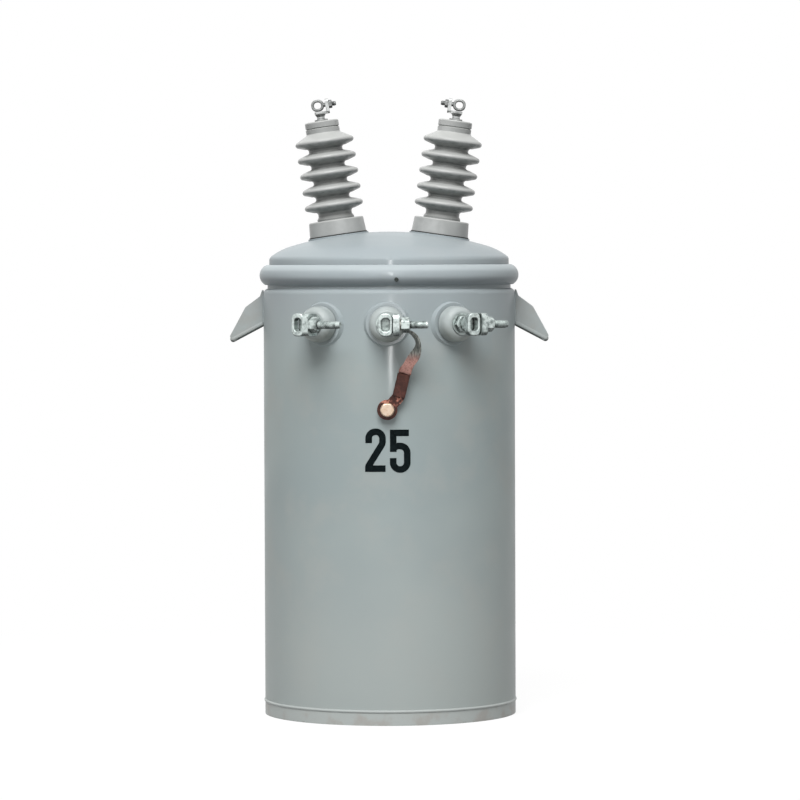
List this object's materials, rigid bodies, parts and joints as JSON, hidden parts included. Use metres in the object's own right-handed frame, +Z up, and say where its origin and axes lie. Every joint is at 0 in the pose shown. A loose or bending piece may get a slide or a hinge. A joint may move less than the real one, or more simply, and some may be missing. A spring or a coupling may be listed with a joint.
{
  "type": "pole mounted transformer",
  "caption": "Round single-phase distribution transformer with a domed cover, ribbed bushings on top, side terminals, lifting lugs and rear pole hangers.",
  "frame": {"origin": "on the tank axis, in the plane that the tank's foot flange stands on", "axes": "+Z up along the tank axis, -Y towards the low-voltage terminals, +Y towards the pole, +X to the right as seen from the front"},
  "size_m": [0.515, 0.546, 0.9936],
  "materials": {
    "tank_paint": "light sea-grey gloss enamel over sheet steel, slightly uneven",
    "core_and_oil": "sealed core, coils and oil, never seen",
    "gasket": "dull black synthetic rubber",
    "zinc_steel": "zinc plated steel, slightly dull",
    "tinned_bronze": "tin plated bronze, satin, slightly uneven",
    "hv_glaze": "sky-grey glazed porcelain",
    "lv_glaze": "pale grey glazed porcelain",
    "copper": "bare copper, browned",
    "brass": "bright silicon bronze"
  },
  "bodies": {
    "root": {"band_bolt": "zinc_steel", "band_nut": "zinc_steel", "bottom_weld": "tank_paint", "core_and_oil": "core_and_oil", "cover": "tank_paint", "cover_band": "tank_paint", "cover_gasket": "gasket", "ground_bolt": "brass", "ground_pad": "tank_paint", "ground_strap": "copper", "hv_collar_left": "hv_glaze", "hv_collar_right": "hv_glaze", "hv_eyebolt_left": "tinned_bronze", "hv_eyebolt_right": "tinned_bronze", "hv_gaskets": "gasket", "hv_nut_left": "tinned_bronze", "hv_nut_right": "tinned_bronze", "hv_porcelain_left": "hv_glaze", "hv_porcelain_right": "hv_glaze", "hv_stud_left": "tinned_bronze", "hv_stud_right": "tinned_bronze", "lifting_lug_left": "tank_paint", "lifting_lug_right": "tank_paint", "lower_hanger": "tank_paint", "lv_eyebolt_centre": "tinned_bronze", "lv_eyebolt_left": "tinned_bronze", "lv_eyebolt_right": "tinned_bronze", "lv_gaskets": "gasket", "lv_locknut_centre": "tinned_bronze", "lv_locknut_left": "tinned_bronze", "lv_locknut_right": "tinned_bronze", "lv_nut_centre": "tinned_bronze", "lv_nut_left": "tinned_bronze", "lv_nut_right": "tinned_bronze", "lv_porcelain_centre": "lv_glaze", "lv_porcelain_left": "lv_glaze", "lv_porcelain_right": "lv_glaze", "lv_stud_centre": "tinned_bronze", "lv_stud_left": "tinned_bronze", "lv_stud_right": "tinned_bronze", "strap_lug": "copper", "tank_bottom": "tank_paint", "tank_shell": "tank_paint", "upper_hanger": "tank_paint"}
  },
  "joints": []
}
